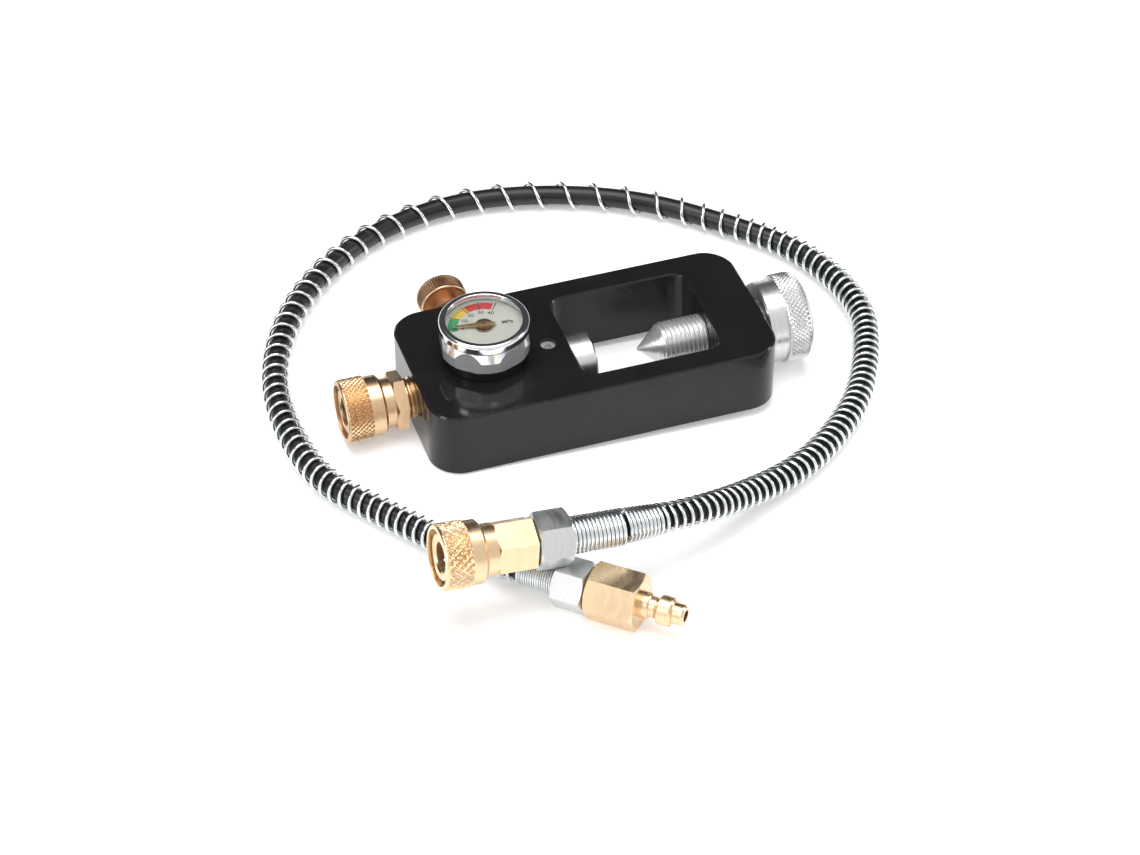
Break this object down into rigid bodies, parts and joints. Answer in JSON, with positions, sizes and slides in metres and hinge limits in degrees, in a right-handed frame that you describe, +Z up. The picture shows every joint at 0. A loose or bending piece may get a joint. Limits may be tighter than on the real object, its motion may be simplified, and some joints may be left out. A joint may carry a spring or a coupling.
{
  "type": "cylinder filling yoke with gauge and hose",
  "caption": "Screw-clamp filling yoke for a high-pressure cylinder valve, with pressure gauge, bleed screw, quick coupler and a spring-guarded filling hose.",
  "frame": {"origin": "on the floor under the middle of the yoke's bounding box, the hose assembly left out", "axes": "+X along the clamp screw toward its knob, the yoke leaning up by 1.53 degrees; +Y toward the bleed knob; +Z up"},
  "size_m": [0.2013, 0.2198, 0.0373],
  "materials": {
    "black_anodised": "black anodised aluminium with a satin gloss",
    "bright_aluminium": "bare turned aluminium",
    "zinc_steel": "zinc-plated steel",
    "dark_steel": "blackened screw steel",
    "spring_steel": "bright spring and fitting steel",
    "seal_rubber": "black sealing rubber",
    "seal_washer": "dark fibre sealing washer",
    "yellow_brass": "turned yellow brass",
    "copper_brass": "redder brass",
    "gauge_chrome": "polished chrome plate",
    "clear_lens": "clear acrylic window",
    "dial_white": "printed white dial",
    "pointer_gold": "gold-coloured pointer",
    "valve_plastic": "white sealing plastic",
    "hose_rubber": "smooth black high-pressure hose"
  },
  "bodies": {
    "yoke": {"yoke_block": "black_anodised", "seal_insert": "bright_aluminium", "valve_seat_ring": "seal_rubber", "insert_tail_ring": "seal_rubber", "lock_screw": "dark_steel", "gauge_stem": "yellow_brass", "gauge_seal": "seal_washer", "gauge_base_ring": "black_anodised", "gauge_case": "gauge_chrome", "gauge_bezel": "gauge_chrome", "gauge_lens": "clear_lens", "gauge_dial": "dial_white", "bourdon_tube": "yellow_brass", "gauge_link": "yellow_brass", "bleed_bonnet": "copper_brass", "bonnet_washer": "seal_washer", "block_coupler_body": "yellow_brass", "block_snap_ring": "spring_steel", "block_locking_balls": "spring_steel", "block_sleeve_spring": "spring_steel", "block_bore_ring": "seal_rubber", "block_poppet_spring": "spring_steel", "block_spring_seat": "yellow_brass"},
    "clamp_screw": {"clamp_spindle": "zinc_steel"},
    "knob": {"clamp_knob": "bright_aluminium", "knob_grub_screw": "dark_steel"},
    "bleed_screw": {"bleed_stem": "spring_steel", "bleed_stem_ring": "seal_rubber"},
    "bleed_handle": {"bleed_knob": "copper_brass", "bleed_grub_screw": "dark_steel"},
    "pointer": {"gauge_pointer": "pointer_gold", "pointer_boss": "pointer_gold", "pointer_shaft": "yellow_brass"},
    "block_sleeve": {"block_coupler_sleeve": "yellow_brass"},
    "block_valve": {"block_poppet": "valve_plastic"},
    "hose_assembly": {"hose": "hose_rubber", "spring_guard": "zinc_steel", "coupler_washer": "seal_washer", "coupler_nut": "zinc_steel", "coupler_hose_tail": "spring_steel", "coupler_ferrule": "zinc_steel", "coupler_end_spring": "zinc_steel", "plug_nut": "zinc_steel", "plug_hose_tail": "spring_steel", "plug_ferrule": "zinc_steel", "plug_end_spring": "zinc_steel", "plug_washer": "seal_washer", "plug_adapter": "yellow_brass", "plug_nipple": "yellow_brass", "hose_coupler_body": "yellow_brass", "hose_snap_ring": "spring_steel", "hose_locking_balls": "spring_steel", "hose_sleeve_spring": "spring_steel", "hose_bore_ring": "seal_rubber", "hose_poppet_spring": "spring_steel", "hose_spring_seat": "yellow_brass"},
    "hose_sleeve": {"hose_coupler_sleeve": "yellow_brass"},
    "hose_valve": {"hose_poppet": "valve_plastic"}
  },
  "joints": [
    {"name": "clamp_slide", "type": "slide", "parent": "yoke", "child": "clamp_screw", "axis": [0.9996, 0, 0.0267], "range_m": [-0.0013, 0.011]},
    {"name": "clamp_turn", "type": "hinge", "parent": "clamp_screw", "child": "knob", "pos_m": [0.06711, -0.00965, 0.01419], "axis": [0.9996, 0, 0.0267], "range_deg": [-330, 2900]},
    {"name": "bleed_slide", "type": "slide", "parent": "yoke", "child": "bleed_screw", "axis": [0, 1, 0], "range_m": [0, 0.003]},
    {"name": "bleed_turn", "type": "hinge", "parent": "bleed_screw", "child": "bleed_handle", "pos_m": [-0.02985, 0.03335, 0.0116], "axis": [0, 1, 0], "range_deg": [-10, 1090]},
    {"name": "pointer_turn", "type": "hinge", "parent": "yoke", "child": "pointer", "pos_m": [-0.02974, -0.00965, 0.03361], "axis": [0.0267, 0, -0.9996], "range_deg": [0, 118], "stiffness_Nm_per_rad": 0.002},
    {"name": "block_sleeve_slide", "type": "slide", "parent": "yoke", "child": "block_sleeve", "axis": [0.9996, 0, 0.0267], "range_m": [0, 0.0028], "stiffness_N_per_m": 400, "deforming": ["block_sleeve_spring"]},
    {"name": "block_valve_slide", "type": "slide", "parent": "yoke", "child": "block_valve", "axis": [0.9996, 0, 0.0267], "range_m": [0, 0.002], "stiffness_N_per_m": 400, "deforming": ["block_poppet_spring"]},
    {"name": "hose_lift", "type": "slide", "parent": "yoke", "child": "hose_assembly", "axis": [0, 0, 1], "range_m": [0, 0.12]},
    {"name": "hose_sleeve_slide", "type": "slide", "parent": "hose_assembly", "child": "hose_sleeve", "axis": [0.9965, 0.0263, -0.0789], "range_m": [0, 0.0028], "stiffness_N_per_m": 400, "deforming": ["hose_sleeve_spring"]},
    {"name": "hose_valve_slide", "type": "slide", "parent": "hose_assembly", "child": "hose_valve", "axis": [0.9965, 0.0263, -0.0789], "range_m": [0, 0.002], "stiffness_N_per_m": 400, "deforming": ["hose_poppet_spring"]}
  ],
  "couplings": [
    {"joint": "clamp_turn", "follows": "clamp_slide", "rad_per_m": 4188.8},
    {"joint": "bleed_turn", "follows": "bleed_slide", "rad_per_m": 6283.2}
  ]
}
